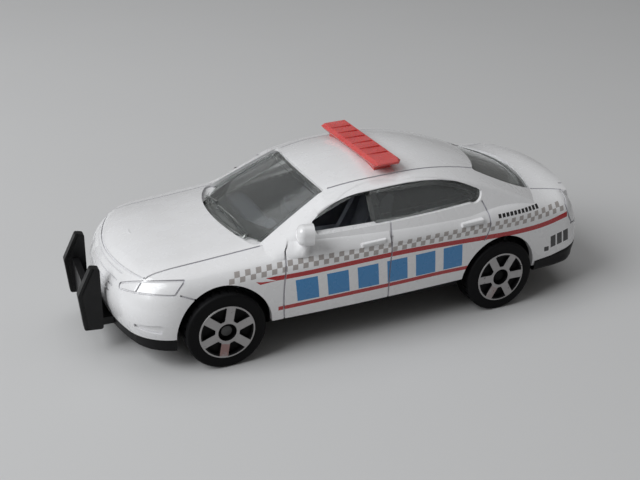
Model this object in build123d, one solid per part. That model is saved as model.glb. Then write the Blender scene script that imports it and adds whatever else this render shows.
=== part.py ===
from build123d import *
import os

# Toy patrol saloon, die-cast body on a moulded base, about 76 mm long.
# +X is forward, +Y is the car's left, +Z is up. The origin is on the ground, midway between
# the push bar's nose and the tail. All lengths are millimetres.

# Wheels and axles
WHEELBASE = 41.6
FRONT_AXLE_X = 21.0
REAR_AXLE_X = FRONT_AXLE_X - WHEELBASE
TYRE_R = 5.37
AXLE_Z = TYRE_R
TYRE_EDGE_R = 0.35
WHEEL_FACE_Y = 16.1
WHEEL_WIDTH = 3.9
WHEEL_BACK_Y = WHEEL_FACE_Y - WHEEL_WIDTH
RIM_R = 3.75
RIM_LIP = 0.4
HUB_R = 1.26
HUB_RING = 0.4
SPOKES = 6
SPOKE_W = 1.15
SPOKE_DEPTH = 0.55
TREAD_BLOCKS = 30
TREAD_GAP = 0.3
TREAD_DEPTH = 0.12
AXLE_R = 0.5
AXLE_PLAY = 0.06
AXLE_HEAD_R = 0.72
AXLE_HEAD_T = 0.35
HEAD_Y = 15.3
SEAT_PLAY = 0.02
# Section of the wheel behind its face: hub, web and the step of the sidewall
BOSS_R = 1.5
BOSS_BACK = 0.3
WEB_BACK = 2.3
BARREL_R = 4.2
SIDEWALL_STEP = 0.15
RIM_BEVEL = 0.12
POCKET_R = 0.22
TREAD_LENGTH = 1.0
TREAD_BACK = 1.2
LEFT_SPOKES = {"front": 20, "rear": 0}
RIGHT_SPOKES = {"front": 50, "rear": 10}

# Body
WALL = 0.9
ARCH_R = 6.35
ARCH_INNER_Y = 11.2
SHOULDER_R = 3.0
SHOULDER_MIN_Z = 11.0
ROOF_EDGE_R = 1.1
ROOF_MIN_Z = 17.5
GAP = 0.05
# Planes beyond the skin, where cuts from outside start
OUTER_X = 42.0
OUTER_Y = 20.0
OUTER_Z = 26.0
LINE_W = 0.24
LINE_DEPTH = 0.22

# Plan outlines of the lower body. Columns: z, nose x, front corner x, front corner y, side y,
# rear corner x, rear corner y, tail x, front corner radius, rear corner radius.
BODY_ROWS = [
    (3.4, 33.6, 30.2, 13.6, 15.0, -34.2, 13.0, -37.4, 6.6, 3.6),
    (5.6, 34.4, 30.8, 14.7, 15.8, -34.9, 14.0, -38.0, 7.2, 3.8),
    (9.2, 34.8, 30.8, 14.9, 16.1, -35.0, 14.5, -38.0, 7.6, 3.8),
    (12.8, 32.7, 27.9, 14.0, 16.0, -34.1, 14.3, -37.1, 8.0, 3.6),
    (18.2, 28.0, 23.2, 11.9, 14.0, -33.2, 12.5, -35.8, 7.4, 3.2),
]
# Height of the lower body along its centreline, from the nose to the tail: x, z.
TOP_LINE = [
    (35.2, 8.4), (33.9, 11.3), (32.6, 12.9), (30.2, 14.0), (24.0, 14.9), (17.0, 15.6),
    (4.0, 16.7), (-12.0, 17.5), (-24.0, 17.5), (-30.0, 16.6), (-34.6, 16.4), (-36.6, 15.8),
    (-38.5, 13.2),
]
BODY_CROWN_R = 52.0

# Boot lid in plan. Its rear edge stands up as a small spoiler.
LID_PLAN = [(-27.0, -11.4), (-40.0, -11.0), (-40.0, 11.0), (-27.0, 11.4)]
LID_LOW_Z = 13.6

# Cabin outlines, with the same columns.
CABIN_ROWS = [
    (14.6, 18.9, 12.3, 13.4, 15.3, -30.0, 13.4, -36.0, 4.0, 4.5),
    (18.0, 11.6, 6.8, 12.3, 13.3, -24.6, 11.8, -29.6, 3.4, 4.0),
    (22.8, 0.8, -2.2, 9.8, 10.2, -15.4, 9.1, -18.4, 2.4, 2.6),
]
ROOF_LINE = [
    (28.0, 14.4), (14.0, 18.3), (5.2, 20.85), (0.4, 21.75), (-3.8, 22.1), (-8.0, 22.25),
    (-11.4, 22.1), (-14.9, 21.6), (-18.9, 20.65), (-23.0, 19.3), (-30.0, 16.6), (-40.0, 12.0),
]
ROOF_CROWN_R = 40.0
GLASS_SLOPE = 0.38
SIDE_SLOPE = 0.83

# Windscreen and rear window in plan, each given by its corners and the middles of its curved
# edges: x, y.
WINDSCREEN = {"low": (15.4, 11.1), "low_mid": 18.4, "high": (4.6, 8.9), "high_mid": 5.5}
REAR_WINDOW = {"low": (-28.3, 9.9), "low_mid": -30.4, "high": (-18.9, 8.6), "high_mid": -21.4,
               "side_mid": (-23.2, 10.1)}
# Door windows in side view, as curves of three points: x, z.
WINDOW_REAR = [(-15.9, 16.85), (-17.7, 17.25), (-18.1, 18.1)]
WINDOW_TOP = [(-18.1, 18.1), (-12.4, 20.25), (-5.5, 20.65)]
WINDOW_FRONT = [(-5.5, 20.65), (2.6, 19.9), (8.0, 17.2)]
WINDOW_SILL = (7.4, 15.8)
# Corner radii of the windows, and how deep their cuts reach
WINDSCREEN_LOW_R = 1.2
WINDSCREEN_HIGH_R = 0.5
REAR_WINDOW_R = 0.5
WINDOW_FRONT_R = 0.45
WINDSCREEN_CUT_Z = 14.3
REAR_WINDOW_CUT_Z = 15.0
WINDOW_CUT_Y = 9.0

# Shut lines of the doors in side view: top, middle and bottom of each arc as x, z.
DOOR_LINES = [
    [(11.6, 15.7), (13.0, 10.6), (12.8, 4.5)],
    [(-3.15, 16.9), (-2.3, 11.0), (-2.4, 4.5)],
    [(-17.7, 16.9), (-18.35, 14.6), (-17.3, 11.7)],
]
# Bonnet line and the channels of the roof in plan: x, y.
BONNET_REAR = (14.7, 11.35)
BONNET_FRONT = (30.2, 11.1)
BONNET_NOSE_X = 33.0
ROOF_CHANNEL = [(4.1, 8.7), (-5.0, 9.1), (-19.4, 8.1)]
BOOT_CREASE = [(-28.6, 9.95), (-31.2, 10.3), (-34.2, 11.4)]
# Headlight seen from the car's front corner: distance along the corner, z.
LENS_TOP = [(-8.2, 12.75), (-13.2, 12.4), (-17.2, 11.2)]
LENS_TIP = [(-17.2, 11.2), (-17.5, 10.8), (-16.9, 10.4)]
LENS_LOW = [(-16.9, 10.4), (-13.0, 10.95), (-8.9, 11.1)]
LENS_DIVIDER = [(-13.6, 12.6), (-14.3, 10.8)]
FOG_RECESS = [(-16.2, 6.75), (-10.0, 7.35), (-10.4, 5.9), (-12.0, 6.0)]
# Bumper seam behind the headlight, and the tail lamp's edges in side view: x, z.
BUMPER_SEAM = [(26.6, 11.2), (24.4, 10.3)]
LAMP_TOP = [(-33.5, 15.3), (-32.4, 14.1)]
LAMP_REAR = [(-32.4, 14.1), (-32.7, 12.7), (-33.5, 11.3)]
# Lines on the nose and tail: y, z.
INTAKE = [(-6.4, 6.5), (6.4, 6.5), (5.6, 5.2), (-5.6, 5.2)]
LID_LINE = [(9.3, 15.6), (8.4, 10.6), (-8.4, 10.6), (-9.3, 15.6)]
LAMP_LOW = [(8.5, 11.1), (16.0, 11.3)]
TAIL_SEAM = [(-12.5, 7.7), (12.5, 7.7)]
# How deep the lines' cutters reach
BONNET_CUT_Z = 11.5
CHANNEL_CUT_Z = 17.0
CREASE_CUT_Z = 14.0
CORNER_CUT = (24.0, 36.0)
NOSE_CUT_X = 28.0
TAIL_CUT_X = -30.0
LAMP_CUT_X = -33.2
LENS_R = 0.3
INTAKE_R = 0.4
# Bars of the grille: height, half width.
GRILLE_BARS = [(12.0, 7.6), (11.1, 7.4), (10.2, 7.1), (9.3, 6.6)]

# Wipers moulded on the windscreen, in plan.
WIPERS = [
    [(16.6, -1.4), (15.5, 8.1), (16.2, 8.7)],
    [(16.9, -9.0), (16.3, -2.6)],
]

# Mirror and door handles
MIRROR_SIZE = (2.2, 2.5, 2.8)
MIRROR_AT = (9.85, 15.0, 16.9)
MIRROR_TURN = -12
MIRROR_FOOT = (1.3, 2.6, 1.2)
MIRROR_FOOT_AT = (9.3, 13.7, 15.9)
HANDLES = [[(1.9, 14.15), (-1.7, 14.35)], [(-13.5, 14.55), (-17.0, 14.75)]]
MIRROR_SIDE_R = 1.1
MIRROR_FACE_R = 0.9
MIRROR_FOOT_R = 0.4
HANDLE_W = 0.6
HANDLE_ROOT = 1.3
HANDLE_R = 0.2
HANDLE_Y = 15.72

# Sill and bumper edges seen from the side: x, z.
SILL = [(40, 4.8), (28, 4.8), (14, 5.45), (-14.5, 6.0), (-28, 5.3), (-40, 5.9)]

# Views that cuts are drawn on. CORNER looks at the front left headlight.
TOP = Plane.XY
SIDE = Plane.XZ
FRONT = Plane.YZ
CORNER = Plane((0, 0, 0), x_dir=(-1, 1, 0), z_dir=(1, 1, 0))

# Light bar
BAR_X = -4.7
BAR_WIDTH = 18.8
BAR_LOW_Z = 22.25
# Section of the bar, from its middle and its underside: x, z.
BAR_SECTION = [(-1.9, 0.0), (-2.2, 0.55), (-1.7, 1.0), (1.6, 0.85), (2.2, 0.5), (1.8, 0.0)]
BAR_HEIGHT = BAR_SECTION[2][1]
BAR_END = 0.6
BAR_END_TAPER = 32
BAR_GROOVES = 6
BAR_GROOVE_PITCH = 2.45
BAR_GROOVE_W = 0.55
BAR_GROOVE_DEPTH = 0.22
BAR_GROOVE_LENGTH = 3.2
BAR_FOOT_LENGTH = 2.6
BAR_FOOT_WIDTH = 15.4
BAR_FOOT_TOP = 0.2
BAR_FOOT_DROP = 1.6
STEM_LENGTH = 1.8
STEM_WIDTH = 13.0
STEM_LOW_Z = 20.4

# Glazing. The panes stand in the body's openings, a little below the paint.
GLASS_T = 0.7
PANE_SINK = 0.3
PANE_GAP = 0.08
FRAME_W = 0.9
FRAME_STEP = 0.16
PANE_FRONT_X = -1.0
GLASS_LOW_Z = 15.6
GLASS_SIDE_Y = 9.9
PANE_CUT_Y = 9.5
OPEN_WINDOW_Z = (14.2, 20.8)
WIPER_W = 0.35
WIPER_RISE = 0.14

# Rivets and the posts they close
FRONT_RIVET_X = 28.0
REAR_RIVET_X = -33.6
RIVET_R = 0.8
RIVET_HEAD_R = 1.5
RIVET_HEAD_T = 0.45
POST_R = 1.7
POST_LOW_Z = 4.6
POST_TOP_Z = {FRONT_RIVET_X: 14.2, REAR_RIVET_X: 16.1}
POST_BORE = 3.0
BOSS_WALL = 0.8

# Base
FLOOR_Z = 3.3
FLOOR_T = 1.1
BASE_EDGE_Z = 4.75
BASE_TOP_Z = 6.6
BASE_EDGE_W = 0.8
WELL_Y = 11.9
# Blocks that hold the axle
BEARING_Y = 6.6
BEARING_Z = 4.95
BEARING_SIZE = (3.4, 9.2, 3.3)
# Outlines of the base, with the body's columns, and those of the front lip and rear valance.
BASE_ROWS = [
    (FLOOR_Z, 31.6, 28.2, 11.4, 12.4, -32.2, 10.8, -36.0, 5.0, 4.0),
    (BASE_EDGE_Z, 32.6, 28.9, 13.6, 14.75, -33.2, 13.0, -37.0, 5.4, 4.2),
    (BASE_TOP_Z, 33.0, 29.2, 13.7, 14.75, -33.4, 13.1, -36.9, 5.4, 4.2),
]
LIP_ROW = (3.2, 33.9, 30.0, 14.4, 15.7, -34.0, 13.9, -37.9, 6.3, 4.7)
LIP_TOP_Z = 4.76
LIP_REAR_X = 27.3
VALANCE_ROW = (4.4, 33.9, 30.0, 14.4, 15.6, -34.0, 13.8, -37.7, 6.3, 4.7)
VALANCE_TOP_Z = 5.2
VALANCE_FRONT_X = -28.2
EXHAUST_X = (-36.6, -6.5)
EXHAUST_Y = -6.2
EXHAUST_R = 0.7
EXHAUST_SINK = 0.1
EXHAUST_TOP = 0.5
SILENCER_X = -12.0
SILENCER_SIZE = (9.0, 4.4, 1.8)
SILENCER_SINK = 0.4
SILENCER_SIDE_R = 1.6
SILENCER_LOW_R = 0.5
RIB_Y = 3.0
RIB_SIZE = (24.0, 0.8, 0.5)

# Push bar
PUSH_Y = 6.2
PUSH_T = 1.1
PUSH_PROFILE = [(34.9, 12.4), (36.05, 12.7), (38.0, 8.9), (37.6, 3.7), (35.1, 3.5)]
PUSH_STEP = [(35.7, 12.6), (37.6, 8.95), (37.2, 3.7)]
PUSH_EDGE_R = 0.35
PUSH_STEP_W = 0.3
PUSH_STEP_DEPTH = 0.12
PUSH_PLATE_X = 36.4
PUSH_PLATE_Z = 6.4
PUSH_PLATE_T = 0.9
PUSH_PLATE_H = 5.2
TONGUE = (3.3, 10.0, 1.1)
TONGUE_X = 34.9
TONGUE_Z = 3.95

# Interior
TUB_Z = 7.2
TUB_T = 0.8
SEAT_Y = 6.4
SEAT_W = 6.4
BOLSTER_W = 1.0
# Side views of the seats, the dash and the console: x, z.
CUSHION = [(3.4, TUB_Z), (3.6, 10.2), (-2.6, 9.8), (-3.6, TUB_Z)]
SEAT_BACK = [(-0.6, 9.0), (-3.7, 17.2), (-4.7, 18.3), (-5.8, 17.6), (-4.2, TUB_Z), (-1.6, TUB_Z)]
BOLSTER = [(3.0, 9.0), (3.2, 11.0), (0.6, 10.8), (-2.6, 16.6), (-4.4, 16.2), (-3.0, 9.0)]
BENCH = [(-10.2, TUB_Z), (-10.2, 10.4), (-14.9, 10.0), (-17.4, 16.0), (-19.2, 16.0), (-18.6, TUB_Z)]
DASH = [(9.8, TUB_Z), (8.9, 12.0), (10.0, 13.1), (12.9, 13.3), (12.9, TUB_Z)]
BINNACLE = [(9.0, 12.4), (9.2, 14.0), (10.4, 14.5), (11.8, 13.0)]
CONSOLE = [(9.6, TUB_Z), (9.4, 11.2), (6.4, 9.6), (-3.0, 9.4), (-3.0, TUB_Z)]
CUSHION_R = 0.3
SEAT_R = 0.4
BACK_STEP = 0.3
BINNACLE_HALF_W = 2.2
CONSOLE_HALF_W = 1.6
TUB_X = -3.0
TUB_LENGTH = 33.0
TUB_WIDTH = 21.6
WIDE_LENGTH = 26.0
WIDE_WIDTH = 27.0
TUB_SIDE_H = 6.4
TUB_SIDE_DROP = 0.2
BENCH_HALF_W = 10.5
DASH_HALF_W = 11.4

# Steering wheel: radii of rim and hub, spoke, column and place
STEERING_R = 2.1
STEERING_RIM_R = 0.3
STEERING_HUB = (0.6, 0.5)
STEERING_SPOKE = (4.2, 0.5, 0.4)
COLUMN_R = 0.35
COLUMN_LENGTH = 2.4
STEERING_X = 6.4
STEERING_Z = 13.6
STEERING_TILT = -62


def plan_outline(row, front_in=0.0, side_in=0.0, rear_in=0.0):
    """The car's outline seen from above at one height."""
    z, nose, cfx, cfy, side, crx, cry, tail, rf, rr = row
    nose, cfx = nose - front_in, cfx - front_in
    cfy, cry, side = cfy - side_in, cry - side_in, side - side_in
    crx, tail = crx + rear_in, tail + rear_in
    mid = (cfx + crx) / 2
    rf, rr = min(rf, 0.4 * (cfx - crx)), min(rr, 0.4 * (cfx - crx))
    face = make_face([
        ThreePointArc((cfx, -cfy), (nose, 0), (cfx, cfy)),
        ThreePointArc((cfx, cfy), (mid, side), (crx, cry)),
        ThreePointArc((crx, cry), (tail, 0), (crx, -cry)),
        ThreePointArc((crx, -cry), (mid, -side), (cfx, -cfy)),
    ])
    face = fillet(face.vertices().filter_by_position(Axis.X, mid, 99), rf)
    face = fillet(face.vertices().filter_by_position(Axis.X, crx - 0.01, crx + 0.01), rr)
    return Pos(0, 0, z) * face


def crown_tool(line, radius, drop=0.0):
    """Solid under a crowned surface that follows a side profile."""
    pts = [(x, z - drop) for x, z in line]
    low = min(z for _, z in pts) - 8.0
    top = max(z for _, z in pts)
    edges = [
        Spline(*[(x, 0, z) for x, z in pts]),
        Line((pts[-1][0], 0, pts[-1][1]), (pts[-1][0], 0, low)),
        Line((pts[-1][0], 0, low), (pts[0][0], 0, low)),
        Line((pts[0][0], 0, low), (pts[0][0], 0, pts[0][1])),
    ]
    axis = Axis((0, 0, top - radius), (1, 0, 0))
    return revolve(make_face(edges).rotate(axis, -25), axis, 50)


def polygon(points, radius=0.0):
    """Flat face with straight sides and, where asked, rounded corners."""
    face = make_face(Polyline(*points, close=True).edges())
    if radius:
        face = fillet(face.vertices(), radius)
    return face


def swept(plane, face, near, far):
    """Prism on a face drawn in one of the views, between two depths."""
    return extrude(plane.offset(near) * face, amount=far - near, dir=plane.z_dir)


def across(face, y0, y1):
    """Prism across the car on a face drawn in the side view."""
    return swept(SIDE, face, -max(y0, y1), -min(y0, y1))


def tube_y(x, z, r, y0, y1):
    """Round bar across the car."""
    return Pos(x, (y0 + y1) / 2, z) * Rot(90, 0, 0) * Cylinder(r, abs(y1 - y0))


def tube_x(x0, x1, y, z, r):
    """Round bar along the car."""
    return Pos((x0 + x1) / 2, y, z) * Rot(0, 90, 0) * Cylinder(r, abs(x1 - x0))


def mirrored(shapes):
    """The shapes and their images on the car's right."""
    return shapes + [mirror(shape, Plane.XZ) for shape in shapes]


def lower_body(inset=0.0):
    """Solid of the body below the glass; inset moves its whole skin inwards."""
    rows = [plan_outline(row, inset, inset, inset) for row in BODY_ROWS]
    block = loft(rows) & crown_tool(TOP_LINE, BODY_CROWN_R, inset)
    edges = [e for e in block.edges() if e.bounding_box().min.Z > SHOULDER_MIN_Z and e.length > 1.0]
    body = fillet(edges, SHOULDER_R - inset)
    if inset > LINE_DEPTH:
        return body
    lid = block & swept(TOP, polygon(LID_PLAN), LID_LOW_Z, LID_LOW_Z + 9)
    return body + lid


def row_at(rows, z):
    """The outline row at height z, on the quadratic through three rows."""
    total = [0.0] * len(rows[0])
    for i, row in enumerate(rows):
        weight = 1.0
        for j, other in enumerate(rows):
            if j != i:
                weight = weight * (z - other[0]) / (row[0] - other[0])
        total = [t + weight * value for t, value in zip(total, row)]
    return tuple(total)


def cabin(inset=0.0):
    """Solid of the cabin; inset moves its whole skin inwards."""
    lean = inset / GLASS_SLOPE
    rows = [CABIN_ROWS[0], CABIN_ROWS[1], row_at(CABIN_ROWS, CABIN_ROWS[2][0] - inset)]
    rows = [plan_outline(row, lean, inset / SIDE_SLOPE, lean) for row in rows]
    block = loft(rows) & crown_tool(ROOF_LINE, ROOF_CROWN_R, inset)
    if inset > ROOF_EDGE_R - 0.3:
        return block
    edges = [e for e in block.edges() if e.bounding_box().min.Z > ROOF_MIN_Z and e.length > 1.0]
    return fillet(edges, ROOF_EDGE_R - inset)


def windscreen_face(shrink=0.0):
    """Windscreen opening in plan."""
    (x0, y0), (x1, y1) = WINDSCREEN["low"], WINDSCREEN["high"]
    face = make_face([
        ThreePointArc((x0, -y0), (WINDSCREEN["low_mid"], 0), (x0, y0)),
        Line((x0, y0), (x1, y1)),
        ThreePointArc((x1, y1), (WINDSCREEN["high_mid"], 0), (x1, -y1)),
        Line((x1, -y1), (x0, -y0)),
    ])
    face = fillet(face.vertices().filter_by_position(Axis.X, x0 - 0.1, x0 + 0.1), WINDSCREEN_LOW_R)
    face = fillet(face.vertices().filter_by_position(Axis.X, x1 - 0.1, x1 + 0.1), WINDSCREEN_HIGH_R)
    return offset(face, -shrink) if shrink else face


def rear_window_face(shrink=0.0):
    """Rear window opening in plan."""
    (x0, y0), (x1, y1), (xs, ys) = REAR_WINDOW["low"], REAR_WINDOW["high"], REAR_WINDOW["side_mid"]
    face = make_face([
        ThreePointArc((x0, -y0), (REAR_WINDOW["low_mid"], 0), (x0, y0)),
        ThreePointArc((x0, y0), (xs, ys), (x1, y1)),
        ThreePointArc((x1, y1), (REAR_WINDOW["high_mid"], 0), (x1, -y1)),
        ThreePointArc((x1, -y1), (xs, -ys), (x0, -y0)),
    ])
    face = fillet(face.vertices(), REAR_WINDOW_R)
    return offset(face, -shrink) if shrink else face


def door_window_face(shrink=0.0):
    """Opening of both doors' windows in side view."""
    curves = [ThreePointArc(*points) for points in (WINDOW_REAR, WINDOW_TOP, WINDOW_FRONT)]
    ends = [Line(WINDOW_SILL, WINDOW_REAR[0]), Line(WINDOW_FRONT[-1], WINDOW_SILL)]
    face = make_face(curves + ends)
    face = fillet(face.vertices().filter_by_position(Axis.X, WINDOW_SILL[0] - 0.1, OUTER_X), WINDOW_FRONT_R)
    return offset(face, -shrink) if shrink else face


def body_lines():
    """Thin solids that cross the skin along shut lines, lamp outlines and grille bars."""
    (x0, y0), (x1, y1) = BONNET_REAR, BONNET_FRONT
    bonnet = [
        Line((x0, -y0), (x1, -y1)),
        ThreePointArc((x1, -y1), (BONNET_NOSE_X, 0), (x1, y1)),
        Line((x1, y1), (x0, y0)),
    ]
    lines = [swept(TOP, trace(bonnet, LINE_W), BONNET_CUT_Z, OUTER_Z)]
    # Roof channels and the edges of the boot
    for s in (1, -1):
        channel = ThreePointArc(*[(x, s * y) for x, y in ROOF_CHANNEL])
        lines.append(swept(TOP, trace(channel, LINE_W), CHANNEL_CUT_Z, OUTER_Z))
        crease = ThreePointArc(*[(x, s * y) for x, y in BOOT_CREASE])
        lines.append(swept(TOP, trace(crease, LINE_W), CREASE_CUT_Z, OUTER_Z))
    # Door shut lines
    for ends in DOOR_LINES:
        lines.append(across(trace(ThreePointArc(*ends), LINE_W), -OUTER_Y, OUTER_Y))
    # Bumper seam behind the headlight
    lines.append(across(trace(Line(*BUMPER_SEAM), LINE_W), -OUTER_Y, OUTER_Y))
    # Headlights
    curves = [ThreePointArc(*points) for points in (LENS_TOP, LENS_TIP, LENS_LOW)]
    lens = make_face(curves + [Line(LENS_LOW[-1], LENS_TOP[0])])
    lens = fillet(lens.vertices().filter_by_position(Axis.X, LENS_LOW[-1][0], LENS_TOP[0][0]), LENS_R)
    ring = lens - offset(lens, -LINE_W)
    divider = trace(Line(*LENS_DIVIDER), LINE_W)
    lines += mirrored([swept(CORNER, face, *CORNER_CUT) for face in (ring, divider)])
    # Fog lamp recesses
    fog = polygon(FOG_RECESS, LENS_R)
    lines += mirrored([swept(CORNER, fog, *CORNER_CUT)])
    # Grille bars and the lower intake
    for z, half in GRILLE_BARS:
        lines.append(swept(FRONT, trace(Line((-half, z), (half, z)), LINE_W), NOSE_CUT_X, OUTER_X))
    intake = polygon(INTAKE, INTAKE_R)
    lines.append(swept(FRONT, intake, NOSE_CUT_X, OUTER_X))
    # Tail: boot lid, lamps and bumper seam
    lid = [Line(*ends) for ends in zip(LID_LINE, LID_LINE[1:])]
    lines.append(swept(FRONT, trace(lid, LINE_W), -OUTER_X, TAIL_CUT_X))
    lines += mirrored([swept(FRONT, trace(Line(*LAMP_LOW), LINE_W), -OUTER_X, LAMP_CUT_X)])
    lamp_side = [Line(*LAMP_TOP), ThreePointArc(*LAMP_REAR)]
    lines.append(across(trace(lamp_side, LINE_W), -OUTER_Y, OUTER_Y))
    seam = trace(Line(*TAIL_SEAM), LINE_W)
    lines.append(swept(FRONT, seam, -OUTER_X, TAIL_CUT_X))
    return lines


def make_mirror():
    """The left door's mirror: a rounded head on a short foot. There is none on the right."""
    head = Box(*MIRROR_SIZE)
    head = fillet(head.edges().filter_by(Axis.X), MIRROR_SIDE_R)
    head = fillet(head.faces().sort_by(Axis.X)[-1].edges(), MIRROR_FACE_R)
    foot = Pos(*MIRROR_FOOT_AT) * Box(*MIRROR_FOOT)
    foot = fillet(foot.edges().filter_by(Axis.Y), MIRROR_FOOT_R)
    return Pos(*MIRROR_AT) * Rot(0, 0, MIRROR_TURN) * head + foot


def make_handle(ends):
    """Left door handle: a rounded bar on the skin between two points."""
    bar = across(trace(Line(*ends), HANDLE_W), HANDLE_Y - HANDLE_ROOT, HANDLE_Y)
    return fillet(bar.edges().filter_by_position(Axis.Y, HANDLE_Y - 0.02, HANDLE_Y + 0.02), HANDLE_R)


def stem_slot():
    """Slot through roof and glazing for the light bar's stem."""
    return Pos(BAR_X, 0, BAR_LOW_Z) * Box(STEM_LENGTH + 2 * GAP, STEM_WIDTH + 2 * GAP, 6)


def body_openings():
    """Everything cut right through the skin: sill, arches, windows and the light bar's slot."""
    sill = Polyline(*SILL, (-40, -1), (40, -1), close=True)
    cuts = [across(make_face(sill.edges()), -OUTER_Y, OUTER_Y)]
    for x in (FRONT_AXLE_X, REAR_AXLE_X):
        cuts += mirrored([tube_y(x, AXLE_Z, ARCH_R, ARCH_INNER_Y, OUTER_Y)])
    cuts += mirrored([across(door_window_face(), WINDOW_CUT_Y, OUTER_Y)])
    cuts.append(swept(TOP, windscreen_face(), WINDSCREEN_CUT_Z, OUTER_Z))
    cuts.append(swept(TOP, rear_window_face(), REAR_WINDOW_CUT_Z, OUTER_Z))
    cuts.append(stem_slot())
    return cuts


def make_body():
    body = lower_body() + cabin() - (lower_body(WALL) + cabin(WALL))
    body = body - body_openings()
    core = lower_body(LINE_DEPTH) + cabin(LINE_DEPTH)
    body = body - [line - core for line in body_lines()]
    # The mirror and the door handles stand on the skin
    middle = lower_body(WALL / 2) + cabin(WALL / 2)
    handles = [make_handle(ends) for ends in HANDLES]
    for piece in [make_mirror()] + mirrored(handles):
        body = body + (piece - middle)
    for x, top in POST_TOP_Z.items():
        post = Pos(x, 0, (POST_LOW_Z + top) / 2) * Cylinder(POST_R, top - POST_LOW_Z)
        hole = Pos(x, 0, POST_LOW_Z) * Cylinder(RIVET_R + SEAT_PLAY, 2 * POST_BORE)
        body = body + (post - hole)
    return body


def make_glazing():
    inner = WALL + GAP
    hollow = cabin(inner + GLASS_T)
    dome = cabin(inner) - hollow
    dome = dome & Pos(0, 0, GLASS_LOW_Z) * Box(90, 40, 12, align=(Align.CENTER, Align.CENTER, Align.MIN))
    raised = cabin(PANE_SINK) - hollow
    recessed = cabin(PANE_SINK + FRAME_STEP)
    rear_of_post = Pos(PANE_FRONT_X - 20, 0, 18) * Box(40, 40, 12)
    panes = []
    for outline, low in ((windscreen_face, WINDSCREEN_CUT_Z), (rear_window_face, REAR_WINDOW_CUT_Z)):
        pane = swept(TOP, outline(PANE_GAP), low, OUTER_Z) & raised
        inset = swept(TOP, outline(PANE_GAP + FRAME_W), low, OUTER_Z) - recessed
        panes.append(pane - inset)
    side = (across(door_window_face(PANE_GAP), PANE_CUT_Y, OUTER_Y) & raised) & rear_of_post
    inset = across(door_window_face(PANE_GAP + FRAME_W), PANE_CUT_Y, OUTER_Y) - recessed
    side = side - (inset & Pos(-FRAME_W, 0, 0) * rear_of_post)
    panes += mirrored([side])
    # The driver's and passenger's windows are open
    low, high = OPEN_WINDOW_Z
    window = Box(10.9, 10, high - low, align=(Align.MIN, Align.MIN, Align.MIN))
    dome = dome - mirrored([Pos(PANE_FRONT_X, GLASS_SIDE_Y, low) * window])
    dome = dome - stem_slot()
    # Wipers moulded on the windscreen
    skin = cabin(PANE_SINK - WIPER_RISE) - hollow
    for points in WIPERS:
        panes.append(swept(TOP, trace(Polyline(*points), WIPER_W), WINDSCREEN_CUT_Z, OUTER_Z) & skin)
    return dome + panes


def make_light_bar():
    top = BAR_LOW_Z + BAR_HEIGHT
    half = BAR_WIDTH / 2
    section = polygon([(BAR_X + x, BAR_LOW_Z + z) for x, z in BAR_SECTION])
    cap = extrude(SIDE.offset(half - BAR_END) * section, amount=BAR_END, taper=BAR_END_TAPER)
    bar = across(section, BAR_END - half, half - BAR_END) + mirrored([cap])
    for i in range(BAR_GROOVES):
        y = (i - (BAR_GROOVES - 1) / 2) * BAR_GROOVE_PITCH
        bar = bar - Pos(BAR_X, y, top) * Box(BAR_GROOVE_LENGTH, BAR_GROOVE_W, 2 * BAR_GROOVE_DEPTH)
    foot_z = BAR_LOW_Z + (BAR_FOOT_TOP - BAR_FOOT_DROP) / 2
    foot = Pos(BAR_X, 0, foot_z) * Box(BAR_FOOT_LENGTH, BAR_FOOT_WIDTH, BAR_FOOT_TOP + BAR_FOOT_DROP)
    foot = foot - cabin(-GAP / 2)
    stem_top = BAR_LOW_Z + BAR_HEIGHT / 2
    stem = Pos(BAR_X, 0, (STEM_LOW_Z + stem_top) / 2) * Box(STEM_LENGTH, STEM_WIDTH, stem_top - STEM_LOW_Z)
    return bar + foot + stem


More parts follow.
